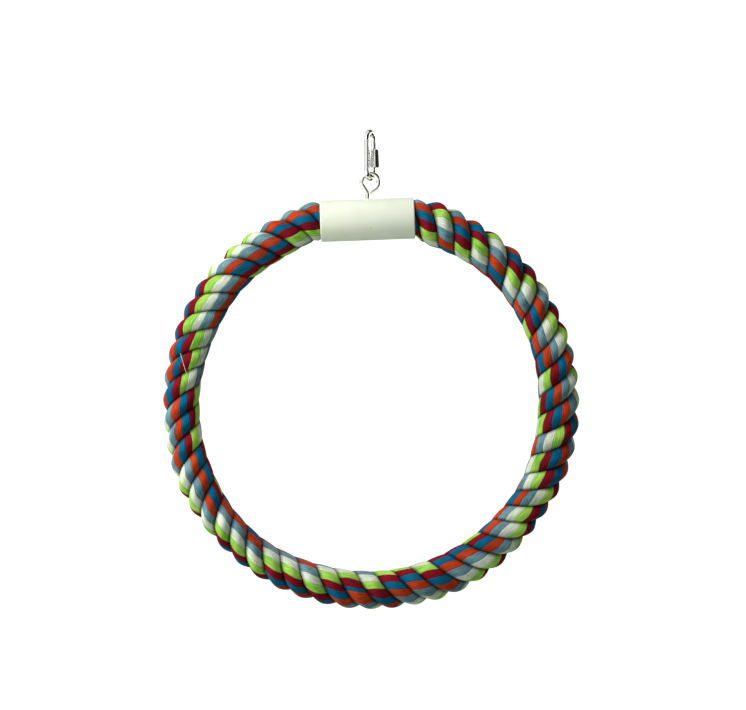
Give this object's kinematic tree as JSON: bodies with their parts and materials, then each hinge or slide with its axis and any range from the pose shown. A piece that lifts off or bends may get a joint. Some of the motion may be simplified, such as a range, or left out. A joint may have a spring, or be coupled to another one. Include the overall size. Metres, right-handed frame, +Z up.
{
  "type": "rope ring bird perch",
  "caption": "Rope ring perch for cage birds: twisted rope bent into a ring, its ends joined in a plastic sleeve and hung by an eye bolt from a screw-closed chain link.",
  "frame": {"origin": "hanging point: the inside of the chain link's top bend, where it rests on a hook or a cage bar", "axes": "+Z up, the ring hangs in the XZ plane, and -Y is the front that the picture shows"},
  "size_m": [0.2702, 0.0266, 0.3116],
  "materials": {
    "sleeve_pvc": "satin, ivory",
    "cotton_rope": "soft twisted cotton yarn in grey-blue, orange, blue, crimson, lime and cream",
    "binding_tape": "matte cloth tape",
    "zinc_wire": "bright zinc plate",
    "link_steel": "bright zinc plate"
  },
  "bodies": {
    "link": {"quick_link": "link_steel"},
    "closing_nut": {"link_nut": "link_steel"},
    "eye": {"eye_bolt": "zinc_wire", "eye_washer": "zinc_wire", "eye_nut": "zinc_wire"},
    "ring": {"connector_sleeve": "sleeve_pvc", "rope_strand_1": "cotton_rope", "rope_strand_2": "cotton_rope", "rope_strand_3": "cotton_rope", "left_end_wrap": "binding_tape", "right_end_wrap": "binding_tape"}
  },
  "joints": [
    {"name": "swing", "type": "hinge", "parent": "link", "child": "eye", "pos_m": [0, 0, -0.02518], "axis": [1, 0, 0], "range_deg": [-80, 80]},
    {"name": "swivel", "type": "hinge", "parent": "eye", "child": "ring", "pos_m": [-0.0017, 0, -0.0552], "axis": [0, 0, 1], "continuous": true},
    {"name": "nut_run_back", "type": "slide", "parent": "link", "child": "closing_nut", "axis": [0, 0, 1], "range_m": [0, 0.0052]}
  ]
}
